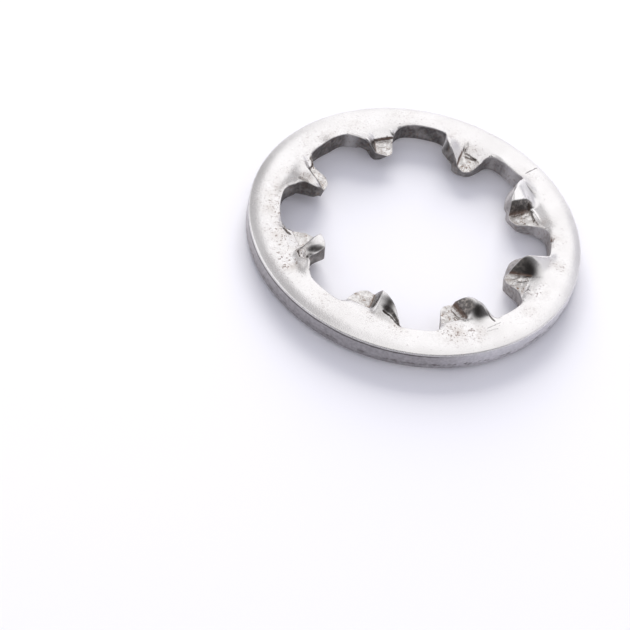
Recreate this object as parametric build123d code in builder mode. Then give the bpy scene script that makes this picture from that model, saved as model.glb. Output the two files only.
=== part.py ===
"""Internal toothed lock washer for an M6 screw.

One flat steel ring with eight teeth that point into the hole. A press sets each
tooth askew: one half of its tip is pushed down from above and the other half is
pushed up from below, so that a corner of the tooth bites on either side.

Millimetres. The hole's axis is +Z, the first tooth stands on +X, and Z = 0 is
the level of the lowest tooth corners, on which the washer lies.
"""

import os
from math import cos, pi

from build123d import *

# ---- Ring -------------------------------------------------------------------
outer_diameter = 11.0
root_diameter = 9.04        # floor of the gaps between the teeth
thickness = 0.7

# ---- Rolled outer edge of the upper face ------------------------------------
roll_width = 0.22
roll_depth = 0.13

# ---- Underside: a flat outer land, and a shallow dish inside it -------------
land_width = 0.32
dish_depth = 0.04
gap_edge_bevel = 0.1        # softened lower edge of each gap
lip_bevel = 0.04            # lower edge of the outer wall

# ---- Teeth in plan ----------------------------------------------------------
tooth_count = 8
hole_diameter = 6.7         # circle through the tooth tips
tip_width = 1.26
root_width = 1.94           # at the floor of the gaps, before their corners are rounded
gap_corner_radius = 0.32
tip_corner_radius = 0.16

# ---- Set of the teeth -------------------------------------------------------
upper_rise = 0.36           # how far the raised corner stands above the ring
lower_drop = 0.2            # how far the other corner hangs below it
edge_droop = 0.2            # how far the face opposite a set corner gives way
ramp_inset = 0.1            # from the tooth's middle line to the foot of the ramp
ramp_width = 0.52           # from the foot of the ramp to its crest
set_reach = 0.24            # how far the set runs out into the ring
set_length = 1.15           # along the tooth, from there to the full set
upper_draw_back = 0.28      # how far the peak of the raised corner stands back from the tip
lower_draw_back = 0.45      # the same for the lowered corner
corner_draw_in = 0.25       # how far both stand in from the flank

# ---- Flat press marks on the tooth tips -------------------------------------
mark_reach = 0.74           # outwards from the tips
mark_inset = 0.07           # from the tooth's middle line
mark_depth = 0.28           # below the ring's face
mark_draft = 0.06           # lean of the step at the outer end of the mark

# ---- Working allowances -----------------------------------------------------
seat_overlap = 0.3          # how far each tooth is rooted in the ring
seat_step = 0.008           # keeps the root of a tooth just inside the ring's faces
tool_clearance = 0.6        # how far a shaping block reaches past what it shapes
section_count = 10          # cross-sections that carry the set of a tooth

# ---- Worked out from the sizes above ----------------------------------------
outer_radius = outer_diameter / 2
root_radius = root_diameter / 2
tip_radius = hole_diameter / 2
half_thickness = thickness / 2
seat_radius = root_radius + seat_overlap
shoulder = root_width / 2
slab_half_width = shoulder + gap_corner_radius
slab_inner_end = tip_radius - tool_clearance
tool_height = half_thickness + max(upper_rise, lower_drop) + tool_clearance
mark_end = tip_radius + mark_reach
mark_level = half_thickness - mark_depth
upper_seat = half_thickness - seat_step
lower_seat = half_thickness - dish_depth - seat_step


def set_share(distance):
    """Share of the full set that a tooth has at this distance from the axis."""
    along = (root_radius + set_reach - distance) / set_length
    return (1 - cos(pi * min(max(along, 0), 1))) / 2


def flank_half_width(distance):
    """Half the width of a tooth between its straight flanks."""
    along = (distance - tip_radius) / (root_radius - tip_radius)
    return (tip_width + (root_width - tip_width) * along) / 2


def ramp(start, end):
    """Draw a smooth ramp that leaves its start and meets its end level."""
    handle = (end[0] - start[0]) / 5
    Bezier(start, (start[0] + handle, start[1]), (end[0] - handle, end[1]), end)


def skewed_face(near_face, rise, droop, turn):
    """Draw one face of a tooth in cross-section: one half gives way, the other stands out.

    Turn is 1 for the upper face. It is -1 for the lower face, which is drawn
    turned half a turn about the tooth's middle. Returns the line's two ends.
    """
    low = near_face - droop
    high = near_face + rise
    crest = ramp_width - ramp_inset
    across_up = [
        (-slab_half_width, near_face),
        (-shoulder, low),
        (-ramp_inset, low),
        (crest, high),
        (shoulder, high),
        (slab_half_width, near_face),
    ]
    points = [(turn * across, turn * up) for across, up in across_up]
    ramp(points[0], points[1])
    Line(points[1], points[2])
    ramp(points[2], points[3])
    Line(points[3], points[4])
    ramp(points[4], points[5])
    return points[0], points[-1]


def tooth_section(distance):
    """Cross-section of the askew slab at this distance from the axis."""
    share = set_share(distance)
    droop = edge_droop * share
    with BuildSketch(Plane((distance, 0, 0), x_dir=(0, 1, 0), z_dir=(1, 0, 0))) as section:
        with BuildLine():
            upper_start, upper_end = skewed_face(upper_seat, upper_rise * share, droop, 1)
            lower_start, lower_end = skewed_face(lower_seat, lower_drop * share, droop, -1)
            Line(upper_end, lower_start)
            Line(lower_end, upper_start)
        make_face()
    return section.sketch


# ---- One tooth on +X, with the middle of the ring at Z = 0 ------------------
with BuildPart() as tooth:
    # A slab that turns askew from the ring towards the tip
    pitch = (seat_radius - slab_inner_end) / (section_count - 1)
    loft([tooth_section(seat_radius - pitch * number) for number in range(section_count)])

    # Trimmed to the plan of a tooth, with the rounded corners of the gaps beside it
    with BuildSketch(Plane.XY) as tooth_plan:
        Circle(seat_radius)
        Circle(root_radius, mode=Mode.SUBTRACT)
        with BuildLine():
            Polyline(
                (slab_inner_end, flank_half_width(slab_inner_end)),
                (root_radius, shoulder),
                (seat_radius, shoulder),
                (seat_radius, -shoulder),
                (root_radius, -shoulder),
                (slab_inner_end, -flank_half_width(slab_inner_end)),
                close=True,
            )
        make_face()
        Circle(tip_radius, mode=Mode.SUBTRACT)
        fillet(tooth_plan.vertices().sort_by_distance((0, 0))[2:4], gap_corner_radius)
        fillet(tooth_plan.vertices().sort_by_distance((0, 0))[0:2], tip_corner_radius)
    extrude(amount=tool_height, both=True, mode=Mode.INTERSECT)

    # The walls lean in towards the peak of each corner that is bent out of line
    foot = Vector(tip_radius, tip_width / 2, -mark_level)
    tip_middle = Vector(tip_radius, 0, -mark_level)
    flank_root = Vector(root_radius, shoulder + gap_corner_radius / 2, half_thickness)
    for turn, rise, draw_back in ((1, upper_rise, upper_draw_back), (-1, lower_drop, lower_draw_back)):
        peak = Vector(tip_radius + draw_back, tip_width / 2 - corner_draw_in, half_thickness + rise)
        for outward in ((tip_middle - foot).cross(peak - foot), (peak - foot).cross(flank_root - foot)):
            wall_foot = (foot.X, turn * foot.Y, turn * foot.Z)
            wall_outward = (outward.X, turn * outward.Y, turn * outward.Z)
            split(bisect_by=Plane(wall_foot, z_dir=wall_outward), keep=Keep.BOTTOM)

    # The flat marks of the press, above on one half of the tip and below on the other
    for turn in (1, -1):
        with BuildSketch(Plane.XZ.offset(turn * mark_inset)):
            with BuildLine():
                Polyline(
                    (slab_inner_end, turn * mark_level),
                    (mark_end, turn * mark_level),
                    (mark_end + mark_draft, turn * tool_height),
                    (slab_inner_end, turn * tool_height),
                    close=True,
                )
            make_face()
        extrude(amount=turn * slab_half_width, mode=Mode.SUBTRACT)

# ---- The washer, lying on its lowered tooth corners -------------------------
middle_level = -tooth.part.bounding_box().min.Z
upper_level = middle_level + half_thickness
lower_level = middle_level - half_thickness
dish_level = lower_level + dish_depth

with BuildPart() as lock_washer:
    # The ring, turned about the hole's axis
    with BuildSketch(Plane.XZ):
        with BuildLine():
            roll_start = (outer_radius - roll_width, upper_level)
            roll_end = (outer_radius, upper_level - roll_depth)
            TangentArc(roll_start, roll_end, tangent=(1, 0))
            Polyline(
                roll_end,
                (outer_radius, lower_level + lip_bevel),
                (outer_radius - lip_bevel, lower_level),
                (outer_radius - land_width, lower_level),
                (root_radius + gap_edge_bevel, dish_level),
                (root_radius, dish_level + gap_edge_bevel),
                (root_radius, upper_level),
                roll_start,
            )
        make_face()
    revolve(axis=Axis.Z)

    # The teeth, rooted in it
    with Locations((0, 0, middle_level)):
        with PolarLocations(0, tooth_count):
            add(tooth.part)

lock_washer.part.label = "lock_washer"

os.makedirs("parts", exist_ok=True)
export_step(lock_washer.part, "parts/lock_washer.step")
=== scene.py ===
"""A toothed lock washer of bright pressed steel, lying on pale ground."""

from math import atan2, cos, exp, pi, radians, sin, sqrt

import bmesh
import bpy
from mathutils import Matrix, Vector, noise


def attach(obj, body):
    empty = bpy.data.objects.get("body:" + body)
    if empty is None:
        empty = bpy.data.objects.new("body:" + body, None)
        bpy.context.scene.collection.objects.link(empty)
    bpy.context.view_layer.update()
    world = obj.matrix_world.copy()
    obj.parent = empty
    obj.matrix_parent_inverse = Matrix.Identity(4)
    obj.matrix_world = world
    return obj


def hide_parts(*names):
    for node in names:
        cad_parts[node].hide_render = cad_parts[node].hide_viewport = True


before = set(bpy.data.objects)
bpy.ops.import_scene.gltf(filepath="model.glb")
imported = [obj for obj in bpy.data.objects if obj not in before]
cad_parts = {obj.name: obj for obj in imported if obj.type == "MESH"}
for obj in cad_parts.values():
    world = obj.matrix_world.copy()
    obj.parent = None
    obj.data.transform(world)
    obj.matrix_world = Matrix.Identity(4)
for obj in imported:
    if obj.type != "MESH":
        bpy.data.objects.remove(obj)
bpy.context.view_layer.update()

MM = 0.001

# ---- Sizes of the washer, in millimetres, as in the CAD source --------------
OUTER_RADIUS = 5.5
THICKNESS = 0.7
RING_UNDERSIDE = 0.1417
CROWN_WIDTH = 0.52
CROWN_BEND = 0.80
RIM_ROLL = 0.06
RIM_DEPTH = 0.03
SHEAR_ROLL = 0.07
SHEAR_DEPTH = 0.045
GAP_SHEAR_DEPTH = 0.02
LIP_HEIGHT = 0.015
LAND_WIDTH = 0.32
DISH_DEPTH = 0.04
TOOTH_COUNT = 8
SHOULDER = 0.97
DROP = 0.13
HOLLOW = 0.30
MARK_END = 4.09
MARK_INSET = 0.07
MARK_DEPTH = 0.27

# ---- Shape of a tooth and its gap, in millimetres or as shares --------------
TEETH_END = 5.0             # radius beyond which nothing of a tooth is felt
UPPER_SHOULDER_FADE = 0.5
LOWER_SHOULDER_FADE = 0.4
CREASE_START = 3.38         # where along a tooth its crease has the given place
EDGE_WANDER = 0.02          # how far the crease and the end of the mark stray
CREASE_WIDTH = 0.030
GENTLE_WIDTH = 0.9          # the raised half rises over this width where it has no scarp
SCARP_FADE = 0.55
SCARP_BOW = 1.3
MARK_MIDDLE = -0.4          # where across a tooth its mark ends at the given place
MARK_TILT_START = 3.5
STEP_WIDTH = 0.025
ROOT_RUN = 0.22             # share of a flank that bends into the gap's corner
FIRST_CORNER_RUN = 0.16     # shares of a gap's columns that go round its two corners
LAST_CORNER_RUN = 0.22
TIP_DRAW = 0.05             # how far the tip's corners are drawn in, and over which share
TIP_DRAW_RUN = 0.07
TIP_ROUNDING = 0.07
UPPER_FRONT = 0.09          # how far the raised and the lowered half stand out at the tip
LOWER_FRONT = 0.08
LUMP_ALONG = 3.95           # the lump beneath a tooth: its place, half length and half width
LUMP_ACROSS = -0.38
LUMP_LENGTH = 0.34
LUMP_WIDTH = 0.3
RING_UNEVENNESS = 0.008
BELL_END = 6                # a dent's bell is cut off here
STEEP_START = 0.75          # slopes at which the darker drawn metal, partly painted shade, begins and is full
STEEP_END = 1.2

# ---- The flat blank, before it is wrapped round into a ring -----------------
TOOTH_RUN = 1.9
GAP_RUN = 1.65
PITCH = TOOTH_RUN + GAP_RUN
TOOTH_DEEP = 1.1
RING_DEEP = 1.0
TOOTH_COLUMNS = 60
GAP_COLUMNS = 26
TOOTH_ROWS = 42
ARRIS = 0.024
WALL_CUTS = 6
SLIVER = 1e-5
BLANK_TO_RING = 0.7         # millimetres round a tooth for one of the blank

# Each gap between one tooth and the next: where it starts and ends round the
# ring in degrees, the radius of its floor, how far the floor bulges outwards in
# the middle, and how round its two corners are
GAPS = [
    (12.2, 30.9, 4.46, 0.02, 0.16, 0.30),
    (58.4, 78.3, 4.51, 0.02, 0.16, 0.34),
    (99.4, 120.6, 4.54, 0.10, 0.14, 0.34),
    (145.3, 167.2, 4.42, 0.02, 0.18, 0.30),
    (190.4, 212.6, 4.42, 0.05, 0.30, 0.24),
    (240.6, 261.5, 4.43, 0.02, 0.34, 0.34),
    (286.4, 302.2, 4.54, 0.00, 0.14, 0.28),
    (327.9, 344.6, 4.47, 0.00, 0.14, 0.30),
]


class Tooth:
    """One tooth: corners of its outline as (along, across), and how it is set and struck."""

    # Upper and lower edge of the raised half, then of the half that is pressed down
    peak: tuple
    peak_flank: tuple
    heel: tuple
    heel_flank: tuple
    toe = (3.42, -0.60)
    toe_flank = (3.85, -0.76)
    sole = (3.56, -0.52)
    sole_flank = (3.95, -0.72)

    # Heights over the ring, and where the tooth starts to bend
    rise = 0.38
    droop = 0.2
    bend_start = 4.66
    bend_length = 0.96

    # The crease between the halves at the tip, how it runs across as it goes
    # outwards, the width of the scarp beside it and its share of the rise
    crease: float
    slant: float
    scarp: float
    scarp_share: float
    scarp_end = 4.7

    # Where the mark of the punch ends, how that end slants, how deep it is, and
    # how much shallower it gets outwards
    mark_end: float
    mark_skew = 0.0
    mark_depth = 0.27
    mark_tilt = 0.0

    # How wide the raised part is at its root
    shoulder = 0.97

    def __init__(self, **own):
        for name, value in own.items():
            setattr(self, name, value)


TEETH = [
    Tooth(
        peak=(3.62, 0.30), peak_flank=(3.92, 0.56), heel=(3.36, 0.70), heel_flank=(3.88, 0.88),
        toe=(3.45, -0.60), toe_flank=(3.88, -0.76), sole=(3.44, -0.62), sole_flank=(3.92, -0.78),
        crease=-0.10, slant=0.12, scarp=0.46, scarp_share=1.0, mark_end=4.12, mark_tilt=0.3,
        bend_start=4.74, bend_length=1.15, scarp_end=4.2,
    ),
    Tooth(
        peak=(3.62, 0.40), peak_flank=(3.98, 0.76), heel=(3.52, 0.56), heel_flank=(3.88, 0.93),
        toe=(3.42, -0.62), crease=-0.12, slant=-0.05, scarp=0.20, scarp_share=0.80, scarp_end=3.95,
        rise=0.36, mark_end=4.09, mark_skew=-0.08, mark_tilt=0.12, bend_start=4.76, bend_length=0.98,
    ),
    Tooth(
        peak=(3.76, 0.22), peak_flank=(4.00, 0.48), heel=(3.68, 0.28), heel_flank=(3.97, 0.62),
        sole=(3.62, -0.52), crease=-0.12, slant=0.12, scarp=0.72, scarp_share=0.7, rise=0.34,
        droop=0.16, mark_end=4.02, mark_skew=0.2, mark_tilt=0.20,
    ),
    Tooth(
        peak=(3.78, 0.24), peak_flank=(4.05, 0.40), heel=(3.76, 0.14), heel_flank=(4.02, 0.36),
        toe=(3.36, -0.58), sole=(3.78, -0.60), crease=0.0, slant=-0.24, scarp=0.34, scarp_share=0.8,
        scarp_end=3.9, rise=0.2, droop=0.24, mark_end=4.06, shoulder=1.3,
    ),
    Tooth(
        peak=(3.42, 0.38), peak_flank=(3.88, 0.42), heel=(3.45, 0.46), heel_flank=(3.93, 0.54),
        toe=(3.42, -0.54), toe_flank=(3.82, -0.66), crease=-0.02, slant=-0.75, scarp=0.26,
        scarp_share=0.6, rise=0.22, droop=0.2, mark_end=4.06, mark_tilt=0.1,
    ),
    Tooth(
        peak=(3.42, 0.50), peak_flank=(3.92, 0.60), heel=(3.38, 0.54), heel_flank=(3.92, 0.66),
        toe=(3.58, -0.60), toe_flank=(3.84, -0.70), crease=-0.34, slant=0.55, scarp=0.24,
        scarp_share=0.85, rise=0.30, mark_end=4.06,
    ),
    Tooth(
        peak=(3.56, 0.42), peak_flank=(3.88, 0.84), heel=(3.40, 0.62), heel_flank=(3.90, 1.0),
        toe=(3.42, -0.50), toe_flank=(3.85, -0.66), crease=0.0, slant=0.12, scarp=0.24, scarp_share=0.8,
        rise=0.34, mark_end=4.10, bend_start=4.50, bend_length=0.86, shoulder=0.9, mark_tilt=0.1,
    ),
    Tooth(
        peak=(3.50, 0.33), peak_flank=(3.94, 0.62), heel=(3.30, 0.62), heel_flank=(3.80, 0.86),
        toe=(3.40, -0.54), toe_flank=(3.82, -0.70), crease=-0.02, slant=0.12, scarp=0.42, scarp_share=1.0,
        rise=0.37, droop=0.12, mark_end=4.10, mark_tilt=0.2, bend_start=4.38, bend_length=0.52,
    ),
]

# Knocks, chips and raised lips: tooth, place along and across it, half length, half
# width, turn in degrees and height
DINTS = [
    (0, 3.90, -0.30, 0.18, 0.05, 30, -0.04),
    (0, 4.02, -0.16, 0.07, 0.07, 0, 0.05),
    (0, 4.24, -0.74, 0.09, 0.06, 20, 0.06),
    (0, 4.16, -0.62, 0.03, 0.12, 0, -0.05),
    (1, 4.02, -0.08, 0.07, 0.05, 30, -0.09),
    (1, 3.96, -0.12, 0.04, 0.03, 60, 0.03),
    (1, 4.19, -0.40, 0.035, 0.24, 4, 0.03),
    (2, 4.16, -0.08, 0.22, 0.04, 8, -0.08),
    (2, 3.98, -0.10, 0.13, 0.045, 12, 0.05),
    (2, 3.62, -0.34, 0.30, 0.10, -60, 0.03),
    (3, 3.62, -0.40, 0.05, 0.16, 20, -0.03),
    (3, 3.80, -0.34, 0.04, 0.14, -30, -0.03),
    (3, 4.20, -0.86, 0.10, 0.05, 30, 0.05),
    (4, 4.16, -0.90, 0.24, 0.07, -60, 0.07),
    (4, 4.06, -0.98, 0.24, 0.05, -60, -0.10),
    (4, 3.85, 0.20, 0.16, 0.12, 0, -0.05),
    (4, 3.62, 0.02, 0.14, 0.10, 30, 0.04),
    (5, 3.78, 0.50, 0.34, 0.15, 0, -0.22),
    (5, 4.12, 0.60, 0.07, 0.12, 20, -0.12),
    (5, 4.20, 0.42, 0.05, 0.14, 20, 0.05),
    (5, 4.22, -0.88, 0.24, 0.04, -20, -0.08),
    (6, 3.86, 0.10, 0.22, 0.05, 15, -0.06),
    (6, 4.10, 0.66, 0.08, 0.16, -15, -0.10),
    (6, 4.22, 1.02, 0.05, 0.26, -25, -0.10),
    (7, 3.80, -0.12, 0.30, 0.04, 10, -0.03),
    (7, 3.98, -0.26, 0.10, 0.05, 40, 0.04),
    (7, 4.20, 0.90, 0.18, 0.04, 45, -0.10),
]

# Dents in the ring itself: place in the plan, half length, half width, turn and height
RING_DENTS = [
    (2.72, 3.50, 0.28, 0.06, -26, -0.045),
    (4.55, 1.92, 0.10, 0.30, 30, -0.012),
    (1.90, 4.30, 0.30, 0.12, -20, -0.012),
    (-3.40, -3.40, 0.50, 0.20, 45, -0.012),
    (-4.70, 0.30, 0.30, 0.60, 0, -0.010),
]

# Where brown dirt has gathered on the upper face: place, reach and how thick
SOIL = [
    (4.70, 0.75, 0.28, 1.0), (4.50, -0.60, 0.32, 1.0), (2.60, -3.80, 0.35, 1.0),
    (3.05, -3.58, 0.40, 0.9), (3.50, -3.30, 0.30, 0.8), (1.20, -4.40, 0.35, 0.8),
    (0.30, -4.45, 0.30, 0.6), (-4.25, -1.90, 0.38, 1.0), (-3.75, -2.75, 0.40, 0.9),
    (-4.45, -0.95, 0.40, 0.7), (-4.40, -0.10, 0.38, 0.6), (-2.80, -3.55, 0.45, 1.0),
    (-3.05, -3.30, 0.35, 1.0), (-4.15, 0.76, 0.35, 0.9), (-4.05, 2.00, 0.40, 0.7),
    (-3.40, 2.95, 0.60, 0.4), (-2.17, 4.46, 0.60, 0.35), (0.26, 4.17, 0.35, 0.8),
    (2.30, 3.95, 0.35, 0.5), (4.15, 1.80, 0.32, 0.9), (3.66, 2.42, 0.25, 0.7),
    (-3.00, -3.95, 0.50, 0.6), (-1.10, -4.60, 0.60, 0.4), (-0.60, 4.40, 0.40, 0.5),
    (4.60, -1.60, 0.40, 0.4), (-4.80, -1.60, 0.45, 0.35), (-4.60, 1.50, 0.45, 0.3),
    (-3.85, -0.20, 0.25, 1.0), (-3.35, -2.95, 0.30, 0.9),
]

SOIL_BENEATH = 0.3

# Painted glints: where the dark walls between the teeth are painted bright: place, reach, how much
PAINTED_WALL_GLINTS = [
    (-3.50, 2.80, 0.26, 1.2), (-0.68, 4.18, 0.16, 1.3), (2.25, 2.95, 0.22, 0.8),
    (3.60, 2.40, 0.30, 0.5), (1.85, 4.15, 0.30, 0.5),
]

# Painted dark reflections on the slopes of the teeth, shade painted into the colour: tooth,
# place along and across it, half length, half width, turn and strength
PAINTED_DARK_REFLECTIONS = [
    (0, 3.99, 0.09, 0.31, 0.23, -24, 1.15),
    (7, 4.12, 0.38, 0.24, 0.20, 0, 1.05),
    (6, 3.80, 0.56, 0.40, 0.24, 0, 0.3),
    (5, 3.92, 0.52, 0.34, 0.13, 67, 0.7),
    (4, 3.96, 0.12, 0.28, 0.20, 48, 0.35),
    (6, 3.90, 0.66, 0.26, 0.20, 0, 0.8),
    (1, 4.40, 0.52, 0.28, 0.10, 109, 0.5),
]

# Cracks and scratches of the upper face: from and to in the plan, width, and how dark they are
CRACKS = [
    ((2.36, 4.23), (2.57, 4.72), 0.022, 0.75),
    ((3.72, -2.92), (4.01, -2.45), 0.02, 0.35),
    ((3.76, -3.04), (4.02, -2.74), 0.016, 0.3),
    ((-3.58, -2.46), (-3.32, -2.56), 0.075, 0.9),
    ((-2.76, -3.20), (-2.62, -3.40), 0.045, 0.9),
    ((0.26, 4.00), (0.62, 4.02), 0.06, 0.85),
    ((-2.70, 2.99), (-2.38, 3.24), 0.045, 0.9),
    ((-2.38, 3.24), (-2.40, 3.38), 0.04, 0.9),
    ((0.62, -4.08), (1.28, -4.29), 0.065, 0.9),
    ((-3.98, 0.72), (-4.18, 0.96), 0.05, 0.8),
    ((-4.02, -0.30), (-3.78, -0.34), 0.12, 0.5),
    ((2.96, 2.89), (3.13, 2.78), 0.055, 0.85),
    ((3.13, 2.78), (3.34, 2.46), 0.05, 0.8),
    ((3.05, -2.30), (3.31, -2.33), 0.03, 0.8),
    ((3.31, -2.33), (3.80, -2.50), 0.035, 0.85),
]


def ease(value, start, end):
    """0 before start, 1 after end, and a smooth rise between them."""
    share = min(max((value - start) / (end - start), 0.0), 1.0)
    return share * share * (3 - 2 * share)


def blend(first, second, share):
    return first + (second - first) * share


def ripple(place, size, seed):
    """Soft unevenness, about -1 to 1, whose bumps are this many millimetres wide."""
    return noise.noise(Vector((place.x / size + seed, place.y / size, place.z / size - seed)))


def polar(radius, angle):
    return Vector((radius * cos(angle), radius * sin(angle), 0.0))


# ---- Plan of the washer -----------------------------------------------------


def tooth_frame(number, point):
    """Distance along the tooth and across it, for a point in the plan."""
    angle = 2 * pi * number / TOOTH_COUNT
    along = point.x * cos(angle) + point.y * sin(angle)
    across = point.y * cos(angle) - point.x * sin(angle)
    return along, across


def from_tooth(number, along, across):
    """The point of the plan that lies so far along a tooth and across it."""
    angle = 2 * pi * number / TOOTH_COUNT
    x = along * cos(angle) - across * sin(angle)
    y = along * sin(angle) + across * cos(angle)
    return Vector((x, y, 0.0))


def gap_floor(gap, share):
    """The floor of a gap, from its first corner at 0 to its last at 1."""
    start, end, radius, bulge = GAPS[gap][:4]
    angle = radians(blend(start, end, share))
    return polar(radius + bulge * 4 * share * (1 - share), angle)


def curve(first, middle, last, share):
    """A bow that starts at the first point, ends at the last and leans on the middle one."""
    return (1 - share) ** 2 * first + 2 * share * (1 - share) * middle + share**2 * last


def corner_of_gap(gap, side):
    """Three points that carry the rounded corner of a gap: on the flank, the corner, on the floor."""
    start, end, radius, _, first_round, last_round = GAPS[gap]
    arc = radians(end - start) * radius
    if side > 0:
        number, size, corner = gap, first_round, gap_floor(gap, 0)
        on_floor = gap_floor(gap, size / arc)
        upper, lower = TEETH[number].peak_flank, TEETH[number].heel_flank
    else:
        number, size, corner = (gap + 1) % TOOTH_COUNT, last_round, gap_floor(gap, 1)
        on_floor = gap_floor(gap, 1 - size / arc)
        upper, lower = TEETH[number].toe_flank, TEETH[number].sole_flank
    flank_middle = from_tooth(number, (upper[0] + lower[0]) / 2, (upper[1] + lower[1]) / 2)
    return corner + (flank_middle - corner).normalized() * size, corner, on_floor


def gap_outline(gap, share):
    """Inner edge of the ring along a gap."""
    start, end, radius, _, first_round, last_round = GAPS[gap]
    arc = radians(end - start) * radius
    first, last = first_round / arc, last_round / arc
    if share < FIRST_CORNER_RUN:
        return curve(*corner_of_gap(gap, 1), 0.5 + 0.5 * share / FIRST_CORNER_RUN)
    if share > 1 - LAST_CORNER_RUN:
        return curve(*corner_of_gap(gap, -1), 0.5 + 0.5 * (1 - share) / LAST_CORNER_RUN)
    middle = (share - FIRST_CORNER_RUN) / (1 - FIRST_CORNER_RUN - LAST_CORNER_RUN)
    return gap_floor(gap, blend(first, 1 - last, middle))


def between(number, lower, upper, level):
    """Place in the plan of a corner of a tooth, between its lower and its upper edge."""
    return from_tooth(number, blend(lower[0], upper[0], level), blend(lower[1], upper[1], level))


def flank(number, side, share, level):
    """A tooth's flank, from the tip's corner at 0 to the middle of the gap's corner at 1."""
    corner = corner_of_gap(number if side > 0 else (number - 1) % TOOTH_COUNT, side)
    if share > 1 - ROOT_RUN:
        return curve(*corner, 0.5 * (share - 1 + ROOT_RUN) / ROOT_RUN)
    tooth = TEETH[number]
    if side > 0:
        tip = between(number, tooth.heel, tooth.peak, level)
        middle = between(number, tooth.heel_flank, tooth.peak_flank, level)
    else:
        tip = between(number, tooth.sole, tooth.toe, level)
        middle = between(number, tooth.sole_flank, tooth.toe_flank, level)
    run = share / (1 - ROOT_RUN)
    place = tip * ((1 - run) * (1 - 2 * run)) + middle * (4 * run * (1 - run))
    place += corner[0] * (run * (2 * run - 1))
    return place - from_tooth(number, 0, side) * TIP_DRAW * exp(-run / TIP_DRAW_RUN)


def tip_edge(number, share, level):
    """The tip between its two corners, standing out a little in front of the drawn-back ones."""
    straight = flank(number, -1, 0, level).lerp(flank(number, 1, 0, level), share)
    upper_front = UPPER_FRONT * ease(share, 0.0, 0.28) * (1 - ease(share, 0.45, 1.0))
    lower_front = LOWER_FRONT * ease(share, 0.1, 0.5) * (1 - ease(share, 0.7, 1.0))
    rounding = TIP_ROUNDING * (1 - abs(2 * share - 1) ** 5)
    return straight - from_tooth(number, 1, 0) * (blend(lower_front, upper_front, level) + rounding)


def root_edge(number, share):
    """Where a tooth grows out of the ring."""
    first, last = flank(number, -1, 1, 0), flank(number, 1, 1, 0)
    first_angle, last_angle = atan2(first.y, first.x), atan2(last.y, last.x)
    if last_angle < first_angle:
        last_angle += 2 * pi
    return polar(blend(first.length, last.length, share), blend(first_angle, last_angle, share))


def inner_edge(number, across):
    """Inner edge of the ring under column `across` of this pitch of the blank."""
    if across <= TOOTH_RUN:
        return root_edge(number, across / TOOTH_RUN)
    return gap_outline(number, (across - TOOTH_RUN) / GAP_RUN)


def plan(number, across, deep, level):
    """Place in the washer's plan of a point of the blank."""
    if deep >= 0:
        inner = inner_edge(number, across)
        return inner.lerp(inner.normalized() * OUTER_RADIUS, deep / RING_DEEP)
    share, run = across / TOOTH_RUN, 1 + deep / TOOTH_DEEP
    left, right = flank(number, -1, run, level), flank(number, 1, run, level)
    tip_left, tip_right = flank(number, -1, 0, level), flank(number, 1, 0, level)
    root_left, root_right = flank(number, -1, 1, level), flank(number, 1, 1, level)
    at_tip = tip_edge(number, share, level) - tip_left.lerp(tip_right, share)
    at_root = root_edge(number, share) - root_left.lerp(root_right, share)
    return left.lerp(right, share) + at_tip * (1 - run) + at_root * run


# ---- Heights of its two faces -----------------------------------------------


def bend(along, start, length):
    """0 at the root of a tooth and 1 at its tip: a straight slope with both its ends rounded."""
    share = min(max((start - along) / length, 0.0), 1.0)
    rounding = 0.3
    if share < rounding:
        return share**2 / (2 * rounding * (1 - rounding))
    if share > 1 - rounding:
        return 1 - (1 - share) ** 2 / (2 * rounding * (1 - rounding))
    return (share - rounding / 2) / (1 - rounding)


def bell(ahead, beside, long, wide, turn, height):
    """A bell-shaped lump, or a hollow where the height is negative, this far from its middle."""
    first = ahead * cos(radians(turn)) + beside * sin(radians(turn))
    second = beside * cos(radians(turn)) - ahead * sin(radians(turn))
    reach = (first / long) ** 2 + (second / wide) ** 2
    return height * exp(-reach) if reach < BELL_END else 0.0


def bells_on(number, table, along, across):
    """Sum of the bells that a table gives to this tooth."""
    own = [row[1:] for row in table if row[0] == number]
    return sum(bell(along - ahead, across - beside, *shape) for ahead, beside, *shape in own)


def dents_in_ring(point):
    return sum(bell(point.x - x, point.y - y, *shape) for x, y, *shape in RING_DENTS)


def upper_face(number, point):
    """Height of the upper face over the ring's own, and how much is press mark and crease."""
    along, across = tooth_frame(number, point)
    tooth = TEETH[number]
    if along > TEETH_END:
        return 0.0, 0.0, 0.0
    width = tooth.shoulder
    share = bend(along, tooth.bend_start, tooth.bend_length)
    share *= 1 - ease(abs(across), width, width + UPPER_SHOULDER_FADE)
    foot = tooth.crease + tooth.slant * (along - CREASE_START) + EDGE_WANDER * ripple(point, 0.3, 11)

    # Beyond the foot of the crease the metal climbs, steeply near the tip and gently further out
    up = min(max((across - foot) / tooth.scarp, 0), 1)
    gentle = ease(across, foot, foot + GENTLE_WIDTH)
    steepness = tooth.scarp_share * (1 - ease(along, tooth.scarp_end, tooth.scarp_end + SCARP_FADE))
    raised = blend(gentle, 1 - (1 - up) ** SCARP_BOW, steepness)
    height = share * blend(-tooth.droop, tooth.rise, raised)

    # On its other side the punch has flattened the tip
    end = tooth.mark_end + tooth.mark_skew * (across - MARK_MIDDLE) + EDGE_WANDER * ripple(point, 0.25, 17)
    mark = ease(foot - across, -0.03, 0.02) * ease(end - along, -0.02, 0.03)
    floor = 0.016 * ripple(point, 0.2, number * 7.3) + 0.02 * ripple(point, 0.55, number * 2.1)
    floor += tooth.mark_tilt * (along - MARK_TILT_START) - tooth.mark_depth
    drop = height - floor
    if drop > 0:
        height = blend(height, floor, mark)
    height += bells_on(number, DINTS, along, across)
    crease = exp(-(((across - foot) / CREASE_WIDTH) ** 2)) * ease(end - along, -0.05, 0.05)
    step = exp(-(((along - end) / STEP_WIDTH) ** 2))
    step *= ease(foot - across, 0, 0.1) * ease(drop, 0.03, 0.12)
    return height, mark, max(crease, step)


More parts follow.
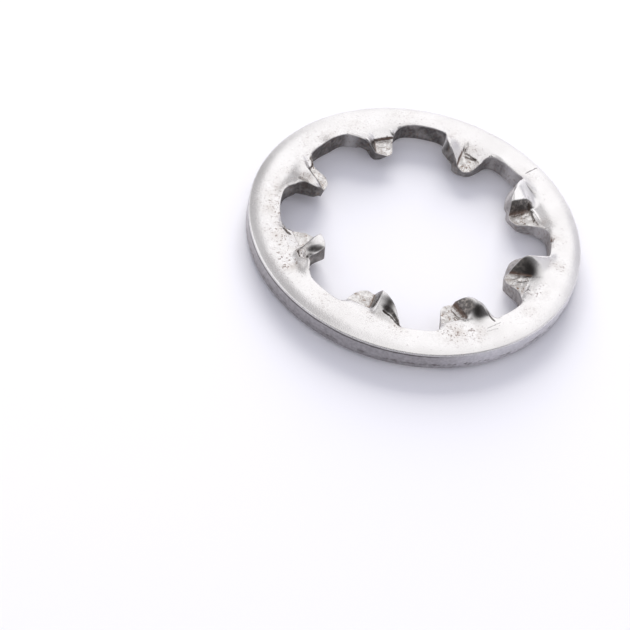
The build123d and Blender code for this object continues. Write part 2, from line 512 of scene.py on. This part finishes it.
def lower_face(number, point):
    """Height of the lower face over the ring's own, and how much is press mark."""
    along, across = tooth_frame(number, point)
    tooth = TEETH[number]
    if along > TEETH_END:
        return 0.0, 0.0
    share = bend(along, tooth.bend_start, tooth.bend_length)
    share *= 1 - ease(abs(across), SHOULDER, SHOULDER + LOWER_SHOULDER_FADE)
    hollow = share * HOLLOW * ease(across, -0.1, 0.4)
    away = ((along - LUMP_ALONG) / LUMP_LENGTH) ** 2 + ((across - LUMP_ACROSS) / LUMP_WIDTH) ** 2
    bulge = (DROP + DISH_DEPTH) * exp(-away)
    mark = ease(across, MARK_INSET - 0.02, MARK_INSET + 0.03) * ease(MARK_END - along, -0.02, 0.04)
    floor = MARK_DEPTH + 0.02 * ripple(point, 0.35, number * 5.1 + 40)
    height = hollow - bulge
    if floor > height:
        height = blend(height, floor, mark)
    return height, mark


def fall_at_rim(edge):
    """How far the ring's upper face has fallen, this far in from its outer edge."""
    fall = CROWN_BEND * max(CROWN_WIDTH - edge, 0) ** 2 / 2
    if edge < RIM_ROLL:
        arc = (RIM_ROLL**2 + RIM_DEPTH**2) / (2 * RIM_DEPTH)
        fall += arc - sqrt(max(arc**2 - (RIM_ROLL - edge) ** 2, 0))
    return fall


def reach_from_cut(number, across, deep, top):
    """Rough distance of a point of the upper face from the nearest sheared edge inside the ring."""
    beside = min(across, TOOTH_RUN - across) * BLANK_TO_RING
    if deep < 0:
        return min(deep + TOOTH_DEEP, beside)
    inside = top.length - inner_edge(number, across).length
    return inside if beside < 0 else sqrt(inside**2 + beside**2)


def gathered(spots, point):
    """How much of these round spots lies at this place of the plan, at most 1."""
    total = 0.0
    for x, y, reach, much in spots:
        total += much * exp(-((point.x - x) ** 2 + (point.y - y) ** 2) / reach**2)
    return min(total, 1)


def on_top(level):
    """0 in the lower half of the thickness and 1 in the upper half."""
    return ease(level, 0.4, 0.6)


def form(number, across, deep, level):
    """The finished place of a point of the blank, in millimetres, with its surface masks."""
    top, bottom = plan(number, across, deep, 1), plan(number, across, deep, 0)
    edge = OUTER_RADIUS - top.length
    height, mark, crease = upper_face(number_near(top), top)
    height += dents_in_ring(top) + RING_UNEVENNESS * ripple(top, 1.6, 3.0) - fall_at_rim(edge)
    reach = reach_from_cut(number, across, deep, top)
    roll = blend(GAP_SHEAR_DEPTH, SHEAR_DEPTH, ease(-deep, 0.0, 0.3))
    roll = blend(roll, -LIP_HEIGHT, mark)
    height -= roll * exp(-((reach / SHEAR_ROLL) ** 2))
    top.z = RING_UNDERSIDE + THICKNESS + height
    drop, lower_mark = lower_face(number_near(bottom), bottom)
    drop += DISH_DEPTH * ease(edge, LAND_WIDTH - 0.03, LAND_WIDTH + 0.25)
    bottom.z = RING_UNDERSIDE + drop
    soil = gathered(SOIL, top) if level > 0.5 else SOIL_BENEATH
    return bottom.lerp(top, level), blend(lower_mark, mark, on_top(level)), crease * on_top(level), soil


def number_near(point):
    """The tooth that is nearest to this point of the plan."""
    return round(atan2(point.y, point.x) / (2 * pi / TOOTH_COUNT)) % TOOTH_COUNT


# ---- The blank: a toothed strip, cut, thickened and given its arrises -------


def strip_lines():
    """Where the blank's columns and rows lie."""
    half = GAP_COLUMNS // 2
    columns = []
    for number in range(TOOTH_COUNT):
        columns += [number * PITCH + GAP_RUN * step / GAP_COLUMNS for step in range(-half, 0)]
        columns += [number * PITCH + TOOTH_RUN * step / TOOTH_COLUMNS for step in range(TOOTH_COLUMNS)]
        columns += [number * PITCH + TOOTH_RUN + GAP_RUN * step / GAP_COLUMNS for step in range(half)]
    columns.append(TOOTH_COUNT * PITCH - GAP_RUN / 2)
    rows = [-TOOTH_DEEP * (1 - step / TOOTH_ROWS) for step in range(TOOTH_ROWS)]
    rows += [0.0, 0.03, 0.065, 0.105, 0.15, 0.2, 0.255, 0.315, 0.38, 0.45, 0.52, 0.59, 0.65, 0.70]
    rows += [0.745, 0.78, 0.81, 0.84, 0.87, 0.9, 0.925, 0.942, 0.955, 0.967, 0.978, 0.989, 1.0]
    return columns, rows


def cut_blank():
    """A flat strip with its teeth, still without thickness."""
    columns, rows = strip_lines()
    blank = bmesh.new()
    bmesh.ops.create_grid(blank, x_segments=len(columns) - 1, y_segments=len(rows) - 1, size=0.5)
    for vert in blank.verts:
        column = round((vert.co.x + 0.5) * (len(columns) - 1))
        row = round((vert.co.y + 0.5) * (len(rows) - 1))
        vert.co = (columns[column], rows[row], 0.0)
    waste = []
    for face in blank.faces:
        centre = face.calc_center_median()
        if centre.y < 0 and centre.x % PITCH > TOOTH_RUN:
            waste.append(face)
    bmesh.ops.delete(blank, geom=waste, context="FACES")
    return blank


def upright_edges(blank):
    """The edges that run down the cut walls."""
    return [e for e in blank.edges if abs(e.verts[0].co.z - e.verts[1].co.z) > THICKNESS / 2]


def thicken(blank):
    """Gives the blank its thickness, softened arrises and a few courses down its cut walls."""
    raised = bmesh.ops.extrude_face_region(blank, geom=blank.faces[:])
    upper = [part for part in raised["geom"] if isinstance(part, bmesh.types.BMVert)]
    bmesh.ops.translate(blank, verts=upper, vec=(0, 0, 1))
    start, end = -GAP_RUN / 2 + SLIVER, TOOTH_COUNT * PITCH - GAP_RUN / 2 - SLIVER
    ends = []
    for face in blank.faces:
        lengths = [vert.co.x for vert in face.verts]
        if max(lengths) < start or min(lengths) > end:
            ends.append(face)
    bmesh.ops.delete(blank, geom=ends, context="FACES")
    bmesh.ops.recalc_face_normals(blank, faces=blank.faces)
    for vert in blank.verts:
        vert.co.z *= THICKNESS
    upright = upright_edges(blank)
    sharp = [e for e in blank.edges if e.is_manifold and e not in upright and e.calc_face_angle(0) > 1.0]
    bmesh.ops.bevel(
        blank, geom=sharp, offset=ARRIS, offset_type="OFFSET", affect="EDGES", segments=2, profile=0.5,
        material=-1,
    )
    bmesh.ops.subdivide_edges(blank, edges=upright_edges(blank), cuts=WALL_CUTS, use_grid_fill=True)
    return blank


# What each vertex tells the steel: how much it is cut wall, struck face or crease, its
# level in the thickness, whether it is the outer rim, and the dirt, slope, painted dark reflection and
# painted glint there
MASKS = ("wall", "mark", "crease", "level", "rim", "soil", "steep", "painted_dark", "painted_glint")


def wrap(blank):
    """Wraps the strip round into the washer and sets its teeth."""
    masks = {name: blank.verts.layers.float.new(name) for name in MASKS}
    for vert in blank.verts:
        level = vert.co.z / THICKNESS
        length = (vert.co.x + SLIVER) % (TOOTH_COUNT * PITCH)
        number = int(length / PITCH)
        across, deep = length - number * PITCH - SLIVER, vert.co.y
        wall = min(max(min(level, 1 - level) * THICKNESS / ARRIS, 0), 1)
        place, mark, crease, soil = form(number, across, deep, level)
        near = number_near(place)
        # Painted dark reflections on the slopes of the teeth: a mask of shade painted into the colour
        painted_dark = min(bells_on(near, PAINTED_DARK_REFLECTIONS, *tooth_frame(near, place)), 1)
        vert[masks["wall"]] = wall
        vert[masks["mark"]] = mark * (1 - wall)
        vert[masks["crease"]] = crease * (1 - wall)
        vert[masks["level"]] = level
        vert[masks["rim"]] = 1.0 if deep > 0.9 else 0.0
        vert[masks["soil"]] = soil
        # Painted glints on the walls of the gaps, as a mask
        vert[masks["painted_glint"]] = gathered(PAINTED_WALL_GLINTS, place) * wall
        vert[masks["painted_dark"]] = painted_dark * on_top(level) * (1 - wall)
        vert.co = place * MM
    bmesh.ops.remove_doubles(blank, verts=blank.verts, dist=1e-7)
    bmesh.ops.recalc_face_normals(blank, faces=blank.faces)
    blank.normal_update()
    for vert in blank.verts:
        # Steep slopes take the darker drawn metal, which is partly painted shade
        slope = sqrt(max(1 / max(vert.normal.z**2, 0.01) - 1, 0))
        steep = ease(slope, STEEP_START, STEEP_END)
        vert[masks["steep"]] = steep * (1 - vert[masks["wall"]]) * (1 - vert[masks["rim"]])
    return blank


# ---- Shader words -----------------------------------------------------------


class Value:
    """A socket that can be written in sums."""

    def __init__(self, tree, socket):
        self.tree = tree
        self.socket = socket

    def maths(self, operation, *others, clamp=False):
        settings = {"operation": operation, "use_clamp": clamp}
        return node(self.tree, "ShaderNodeMath", settings, self, *others)

    def __add__(self, other):
        return self.maths("ADD", other)

    __radd__ = __add__

    def __mul__(self, other):
        return self.maths("MULTIPLY", other)

    __rmul__ = __mul__

    def __sub__(self, other):
        return self.maths("SUBTRACT", other)

    def __rsub__(self, other):
        return node(self.tree, "ShaderNodeMath", {"operation": "SUBTRACT"}, other, self)

    def clamped(self):
        """The same value, kept between 0 and 1."""
        return self.maths("ADD", 0.0, clamp=True)


def node(tree, kind, settings=None, *inputs, output=0, **named):
    """A new node: its type, its settings, then the values or links of its sockets."""
    made = tree.nodes.new(kind)
    for name, setting in (settings or {}).items():
        setattr(made, name, setting)
    places = [(made.inputs[index], value) for index, value in enumerate(inputs)]
    places += [(made.inputs[name.replace("_", " ")], value) for name, value in named.items()]
    for socket, value in places:
        if isinstance(value, Value):
            tree.links.new(value.socket, socket)
        elif value is not None:
            socket.default_value = value
    return Value(tree, made.outputs[output])


def new_material(name):
    """An empty material and its node tree."""
    material = bpy.data.materials.new(name)
    material.use_nodes = True
    material.node_tree.nodes.clear()
    return material, material.node_tree


def put_out(tree, shader, kind="ShaderNodeOutputMaterial"):
    """Leads a finished shader to the tree's output."""
    output = tree.nodes.new(kind)
    tree.links.new(shader.socket, output.inputs["Surface"])


def mix(tree, share, first, second):
    """A blend of two colours, which a Mix node takes in its seventh and eighth sockets."""
    unused = [None] * 5
    return node(tree, "ShaderNodeMix", {"data_type": "RGBA"}, share, *unused, first, second, output=2)


def speckle(tree, place, size, seed, low, high, detail):
    """A mask of scattered spots: 0 below the low mark of the pattern and 1 above the high one."""
    pattern = node(
        tree, "ShaderNodeTexNoise", {"noise_dimensions": "4D"}, Vector=place, W=seed, Scale=1 / size,
        Detail=detail,
    )
    return node(tree, "ShaderNodeMapRange", {"clamp": True}, pattern, low, high, 0.0, 1.0)


def step_up(tree, value, low, high):
    """0 below the low value, 1 above the high one, and a smooth rise between them."""
    settings = {"clamp": True, "interpolation_type": "SMOOTHSTEP"}
    return node(tree, "ShaderNodeMapRange", settings, value, low, high, 0.0, 1.0)


def vector_maths(tree, operation, *inputs, output=0, **named):
    return node(tree, "ShaderNodeVectorMath", {"operation": operation}, *inputs, output=output, **named)


def dot(tree, vector, other):
    return vector_maths(tree, "DOT_PRODUCT", vector, tuple(other), output=1)


# Heights count for little in the distance to a crack, so that it follows the bent teeth
CRACK_FLATTENING = 0.12


def scratch(tree, place, start, end, width):
    """A fine line from one point of the plan to another, 1 along it and 0 beside it."""
    height = (RING_UNDERSIDE + THICKNESS) * CRACK_FLATTENING
    start, end = Vector((*start, height)), Vector((*end, height))
    run = end - start
    away = vector_maths(tree, "SUBTRACT", place, tuple(start))
    share = (dot(tree, away, run) * (1 / run.length_squared)).clamped()
    nearest = vector_maths(tree, "SCALE", tuple(run), Scale=share)
    gap = vector_maths(tree, "DISTANCE", away, nearest, output=1)
    return 1 - step_up(tree, gap, width * 0.3, width)


# ---- The steel --------------------------------------------------------------

BRIGHT_SKIN = (0.885, 0.873, 0.872, 1)
CLOUDED_SKIN = (0.80, 0.785, 0.78, 1)
DUSTY_SKIN = (0.60, 0.55, 0.51, 1)
STRUCK = (0.88, 0.865, 0.85, 1)
CRUSHED = (0.52, 0.49, 0.47, 1)
RUST_STAIN = (0.24, 0.15, 0.10, 1)
DRAWN_AND_PAINTED_SHADE = (0.15, 0.14, 0.134, 1)
# Dark drawn metal of the steep ramps: partly its own tone, partly painted shade
DRAWN_AND_PAINTED_SHADE_DARK = (0.085, 0.076, 0.07, 1)
DRAWN_FLECK = (0.46, 0.42, 0.385, 1)
# Colour of the painted dark reflections on the teeth: shade painted into the steel
PAINTED_REFLECTION_BLACK = (0.054, 0.050, 0.048, 1)
GAP_GREY = (0.20, 0.188, 0.18, 1)
GAP_DARK = (0.055, 0.05, 0.047, 1)
GAP_PATCH = (0.44, 0.42, 0.40, 1)
# A lit copy of the gap walls' colours: painted light for the walls on the lit side
PAINTED_LIT_WALL = (0.66, 0.63, 0.62, 1)
PAINTED_LIT_WALL_GREY = (0.31, 0.288, 0.282, 1)
PAINTED_LIT_WALL_PATCH = (0.80, 0.77, 0.76, 1)
# Colour of the painted glints on the dark gap walls
PAINTED_GLINT_BRIGHT = (0.96, 0.94, 0.93, 1)
GAP_RUST = (0.22, 0.13, 0.08, 1)
# A painted highlight along the upper arris of the gap walls
PAINTED_ARRIS_GLINT = (0.80, 0.79, 0.78, 1)
RIM_BRIGHT = (0.80, 0.785, 0.80, 1)
RIM_GREY = (0.66, 0.645, 0.66, 1)
# Painted shade: darker copies of the outer wall's colours for its shaded side
PAINTED_SHADE_RIM_BRIGHT = (0.47, 0.45, 0.452, 1)
PAINTED_SHADE_RIM_GREY = (0.33, 0.312, 0.315, 1)
RIM_TORN = (0.22, 0.205, 0.20, 1)
# A painted dark line of shade just under the rolled upper edge
PAINTED_ARRIS_SHADE = (0.10, 0.092, 0.09, 1)
DIRT_BROWN = (0.17, 0.10, 0.065, 1)
CRACK_DARK = (0.07, 0.05, 0.04, 1)

# Painted light and shade: towards the first side the walls of the gaps are painted brighter, and towards
# the second the rim is painted darker
PAINTED_LIGHT_SIDE = (1.0, 0.0, 0.0)
PAINTED_SHADE_SIDE = (-0.26, -0.97, 0.0)


def upper_skin(tree, place, soil):
    """Bright tumbled skin with soft grey clouds, dusty where dirt has gathered."""
    clouds = speckle(tree, place, 1.1, 1.0, 0.40, 0.75, 3.0)
    dust = soil * speckle(tree, place, 0.5, 21.0, 0.40, 0.66, 5.0) * 0.6
    return mix(tree, dust, mix(tree, clouds, BRIGHT_SKIN, CLOUDED_SKIN), DUSTY_SKIN)


def struck_face(tree, place, crushed, rust, scribble):
    """Struck faces: crushed grain, bright with dull patches, rust specks and brown scribbles."""
    broken = speckle(tree, place, 0.25, 41.0, 0.42, 0.50, 2.0)
    stain = (rust * 0.85 + scribble * broken * 0.8).clamped()
    return mix(tree, stain, mix(tree, crushed * 0.75, STRUCK, CRUSHED), RUST_STAIN)


def drawn_ramp_and_painted_shade(tree, place, crushed):
    """Steep ramps, where the metal was drawn and torn: dark and dull, partly painted shade, with paler
    flecks.
    """
    flecks = speckle(tree, place, 0.10, 51.0, 0.49, 0.62, 3.0)
    return mix(tree, flecks * 0.6, mix(tree, crushed, DRAWN_AND_PAINTED_SHADE, DRAWN_AND_PAINTED_SHADE_DARK), DRAWN_FLECK)


def gap_wall(tree, place, level, painted_glint, grain, stain):
    """Sheared walls of the gaps: dark and rough, painted brighter to one side, with painted glints and a
    painted highlight along the upper arris.
    """
    patches = speckle(tree, place, 0.45, 5.0, 0.50, 0.66, 3.0)
    dark = mix(tree, patches * 0.55, mix(tree, grain, GAP_GREY, GAP_DARK), GAP_PATCH)
    # A painted lit copy of the wall, blended in towards the lit side
    painted_lit_copy = mix(tree, patches * 0.4, mix(tree, grain, PAINTED_LIT_WALL, PAINTED_LIT_WALL_GREY), PAINTED_LIT_WALL_PATCH)
    steel = mix(tree, step_up(tree, dot(tree, place, PAINTED_LIGHT_SIDE), -0.5, 2.2) * 0.55, dark, painted_lit_copy)
    # Painted glints: light painted onto the dark walls
    steel = mix(tree, (painted_glint * (grain * 0.3 + 0.75)).clamped(), steel, PAINTED_GLINT_BRIGHT)
    steel = mix(tree, stain * 0.5, steel, GAP_RUST)
    # Painted highlight along the upper arris
    return mix(tree, step_up(tree, level, 0.90, 1.0) * 0.7, steel, PAINTED_ARRIS_GLINT)


def rim_wall(tree, place, level, grain):
    """The outer wall: smooth, painted darker to one side, with a torn lower band and a painted line of
    shade under the rolled edge.
    """
    # Painted shade: the outer wall is painted darker towards one side
    painted_shade_reach = dot(tree, place, PAINTED_SHADE_SIDE)
    smooth, painted_shade_rim = mix(tree, grain, RIM_BRIGHT, RIM_GREY), mix(tree, grain, PAINTED_SHADE_RIM_BRIGHT, PAINTED_SHADE_RIM_GREY)
    steel = mix(tree, step_up(tree, painted_shade_reach, 2.4, 4.4) * 0.88, smooth, painted_shade_rim)
    ragged = speckle(tree, place, 0.22, 12.0, 0.35, 0.65, 5.0) * 0.20
    below = 1 - step_up(tree, level + ragged, 0.40, 0.44)
    lip = 1 - step_up(tree, level - ragged, 0.10, 0.18)
    torn = (below - lip * 0.7).clamped() * speckle(tree, place, 0.16, 14.0, 0.36, 0.60, 4.0)
    steel = mix(tree, torn * 0.85, steel, RIM_TORN)
    # A painted dark line of shade under the rolled edge, on the shaded side
    line = step_up(tree, level + ragged * 0.2, 0.89, 0.93) * (1 - step_up(tree, level, 0.965, 0.99))
    return mix(tree, line * step_up(tree, painted_shade_reach, 3.2, 4.5) * 0.8, steel, PAINTED_ARRIS_SHADE)


def all_cracks(tree, place):
    """The cracks and scratches of the upper face, a little shaken."""
    shake = node(tree, "ShaderNodeTexNoise", None, Vector=place, Scale=9.0, Detail=3.0, output=1)
    flat = vector_maths(tree, "MULTIPLY", place, (1.0, 1.0, CRACK_FLATTENING))
    shaken = vector_maths(tree, "MULTIPLY_ADD", shake, (0.09, 0.09, 0.0), flat)
    crack = None
    for start, end, width, dark in CRACKS:
        line = scratch(tree, shaken, start, end, width) * dark
        crack = line if crack is None else crack.maths("MAXIMUM", line)
    return crack


def washer_steel():
    material, tree = new_material("washer_steel")
    coordinates = node(tree, "ShaderNodeTexCoord", output=3)
    place = node(tree, "ShaderNodeMapping", None, coordinates, Scale=(1 / MM, 1 / MM, 1 / MM))
    wall, mark, crease, level, rim, soil, steep, painted_dark, painted_glint = (
        node(tree, "ShaderNodeAttribute", {"attribute_name": name}, output=2) for name in MASKS
    )

    # Patterns that several surfaces share
    crushed = speckle(tree, place, 0.13, 31.0, 0.42, 0.62, 5.0)
    rust = speckle(tree, place, 0.12, 37.0, 0.62, 0.69, 3.0)
    specks = speckle(tree, place, 0.068, 9.0, 0.58, 0.63, 2.0)
    grain = speckle(tree, place, 0.10, 4.0, 0.35, 0.68, 7.0)
    wander = node(
        tree, "ShaderNodeTexNoise", None, Vector=place, Scale=3.4, Detail=3.0, Roughness=0.7,
        Distortion=0.8,
    )
    scribble = 1 - step_up(tree, (wander - 0.47).maths("ABSOLUTE"), 0.006, 0.026)

    skin = mix(tree, mark, upper_skin(tree, place, soil), struck_face(tree, place, crushed, rust, scribble))
    # Steep ramps: darker drawn metal, partly painted shade
    skin = mix(tree, steep * 0.94, skin, drawn_ramp_and_painted_shade(tree, place, crushed))
    # Painted dark reflections: shade painted into the colour of the teeth's slopes
    skin = mix(tree, painted_dark * 0.96, skin, PAINTED_REFLECTION_BLACK)
    inner_wall = gap_wall(tree, place, level, painted_glint, grain, (rust + specks * 0.5).clamped())
    outer_wall = rim_wall(tree, place, level, grain)
    colour = mix(tree, wall, skin, mix(tree, rim, inner_wall, outer_wall))

    # Brown dirt: fine lines in the creases and specks that gather near the teeth
    thread = speckle(tree, place, 0.09, 6.0, 0.30, 0.46, 5.0)
    sparse = speckle(tree, place, 0.06, 19.0, 0.68, 0.72, 2.0)
    dirt = specks * soil * 0.65 + scribble * soil * 0.25 + sparse * 0.5 + crease * (thread * 0.75 + 0.1)
    dirt = dirt.clamped() * (1 - rim)
    crack = all_cracks(tree, place)
    colour = mix(tree, crack, mix(tree, dirt, colour, DIRT_BROWN), CRACK_DARK)

    fine = node(tree, "ShaderNodeTexNoise", None, Vector=place, Scale=22.0, Detail=6.0)
    broad = node(tree, "ShaderNodeTexNoise", None, Vector=place, Scale=3.0, Detail=3.0)
    roughness = fine * 0.1 + 0.20 + wall * 0.22 + mark * 0.06 + dirt * 0.3
    height = fine * (wall * 0.035 + 0.007) + crushed * mark * 0.02 + broad * 0.01 - crack * 0.02
    bump = node(tree, "ShaderNodeBump", None, Strength=0.6, Distance=MM, Height=height)
    metallic = 1 - wall * (1 - rim) * 0.5 - dirt * 0.6
    shader = node(
        tree, "ShaderNodeBsdfPrincipled", None, Base_Color=colour, Metallic=metallic,
        Roughness=roughness, Normal=bump,
    )
    put_out(tree, shader)
    return material


def set_out(name, work, material):
    """Puts finished work into the scene under its name."""
    mesh = bpy.data.meshes.new(name)
    work.to_mesh(mesh)
    work.free()
    mesh.materials.append(material)
    piece = bpy.data.objects.new(name, mesh)
    bpy.context.scene.collection.objects.link(piece)
    return piece


def make_washer():
    washer = set_out("washer", wrap(thicken(cut_blank())), washer_steel())
    for polygon in washer.data.polygons:
        polygon.use_smooth = True
    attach(washer, "root")
    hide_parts("lock_washer")


# ---- Ground, light and camera -----------------------------------------------


GROUND_WHITE = (0.93, 0.925, 0.94, 1)
GROUND_REACH = 0.4


def lay_ground():
    material, tree = new_material("pale_ground")
    shader = node(tree, "ShaderNodeBsdfPrincipled", None, Base_Color=GROUND_WHITE, Roughness=0.9)
    put_out(tree, shader)
    sheet = bmesh.new()
    bmesh.ops.create_grid(sheet, x_segments=1, y_segments=1, size=GROUND_REACH)
    set_out("ground", sheet, material)


# Where the camera stands, and how it is turned
CAMERA_PLACE = Vector((9.9945, -49.4917, 51.6635)) * MM
CAMERA_RIGHT = Vector((0.900650, 0.406425, 0.153781))
CAMERA_UP = Vector((-0.402172, 0.645574, 0.649224))
CAMERA_BACK = Vector((0.164584, -0.646570, 0.744889))
LENS = 125.714
SENSOR_WIDTH = 36.0


def place_camera():
    data = bpy.data.cameras.new("camera")
    data.lens = LENS
    data.sensor_width = SENSOR_WIDTH
    data.clip_start = 0.001
    data.clip_end = 10.0
    camera = bpy.data.objects.new("camera", data)
    turn = Matrix((CAMERA_RIGHT, CAMERA_UP, CAMERA_BACK)).transposed().to_4x4()
    camera.matrix_world = Matrix.Translation(CAMERA_PLACE) @ turn
    bpy.context.scene.collection.objects.link(camera)
    bpy.context.scene.camera = camera


def hang_lamp(name, place, aim, size, power, colour):
    """A square lamp that lights the scene but isn't mirrored in the steel."""
    data = bpy.data.lights.new(name, "AREA")
    data.shape = "SQUARE"
    data.size = size
    data.energy = power
    data.color = colour
    lamp = bpy.data.objects.new(name, data)
    lamp.location = place
    lamp.visible_glossy = False
    lamp.rotation_euler = (Vector(aim) - Vector(place)).to_track_quat("-Z", "Y").to_euler()
    bpy.context.scene.collection.objects.link(lamp)


# Cloth of the tent near the ground and overhead, and the light it gives to matt things
LOW_CLOTH = (0.80, 0.79, 0.82, 1)
HIGH_CLOTH = (0.98, 0.97, 0.97, 1)
TENT_LIGHT = (0.66, 0.66, 0.74, 1)

# Panels of the tent: which way they hang and how high in degrees, the angles
# within which they are full and beyond which they are gone, and their shade
TENT_PANELS = [
    (104, 42, 22, 46, (1.17, 1.16, 1.17, 1)),
    (141, 28, 10, 23, (0.47, 0.46, 0.47, 1)),
    (160, 58, 11, 25, (0.50, 0.49, 0.50, 1)),
    (182, 32, 15, 29, (1.10, 1.09, 1.10, 1)),
    (68, 27, 6, 17, (0.62, 0.61, 0.66, 1)),
    (-34, 28, 22, 38, (0.24, 0.235, 0.24, 1)),
    (-82, 28, 30, 52, (0.36, 0.355, 0.36, 1)),
]


def light_tent():
    """A pale tent all round, lighter overhead, with brighter and darker panels."""
    world = bpy.data.worlds.new("light_tent")
    bpy.context.scene.world = world
    world.use_nodes = True
    tree = world.node_tree
    tree.nodes.clear()
    direction = node(tree, "ShaderNodeTexCoord", output=0)
    overhead = step_up(tree, dot(tree, direction, (0, 0, 1)), 0.55, 0.96)
    cloth = mix(tree, overhead, LOW_CLOTH, HIGH_CLOTH)
    for turn, lift, near, far, shade in TENT_PANELS:
        level = cos(radians(lift))
        aim = Vector((cos(radians(turn)) * level, sin(radians(turn)) * level, sin(radians(lift))))
        facing = dot(tree, direction, aim.normalized())
        cloth = mix(tree, step_up(tree, facing, cos(radians(far)), cos(radians(near))), cloth, shade)
    path = tree.nodes.new("ShaderNodeLightPath")
    seen = Value(tree, path.outputs["Is Camera Ray"]) + Value(tree, path.outputs["Is Glossy Ray"])
    colour = mix(tree, seen.clamped(), TENT_LIGHT, cloth)
    put_out(tree, node(tree, "ShaderNodeBackground", None, colour, 1.0), "ShaderNodeOutputWorld")


make_washer()
lay_ground()
place_camera()
light_tent()
hang_lamp(
    "back_softbox", place=(-0.11, 0.23, 0.10), aim=(0, 0, 0), size=0.19, power=1.10,
    colour=(1.0, 0.985, 0.96),
)

bpy.context.scene.view_settings.view_transform = "Standard"
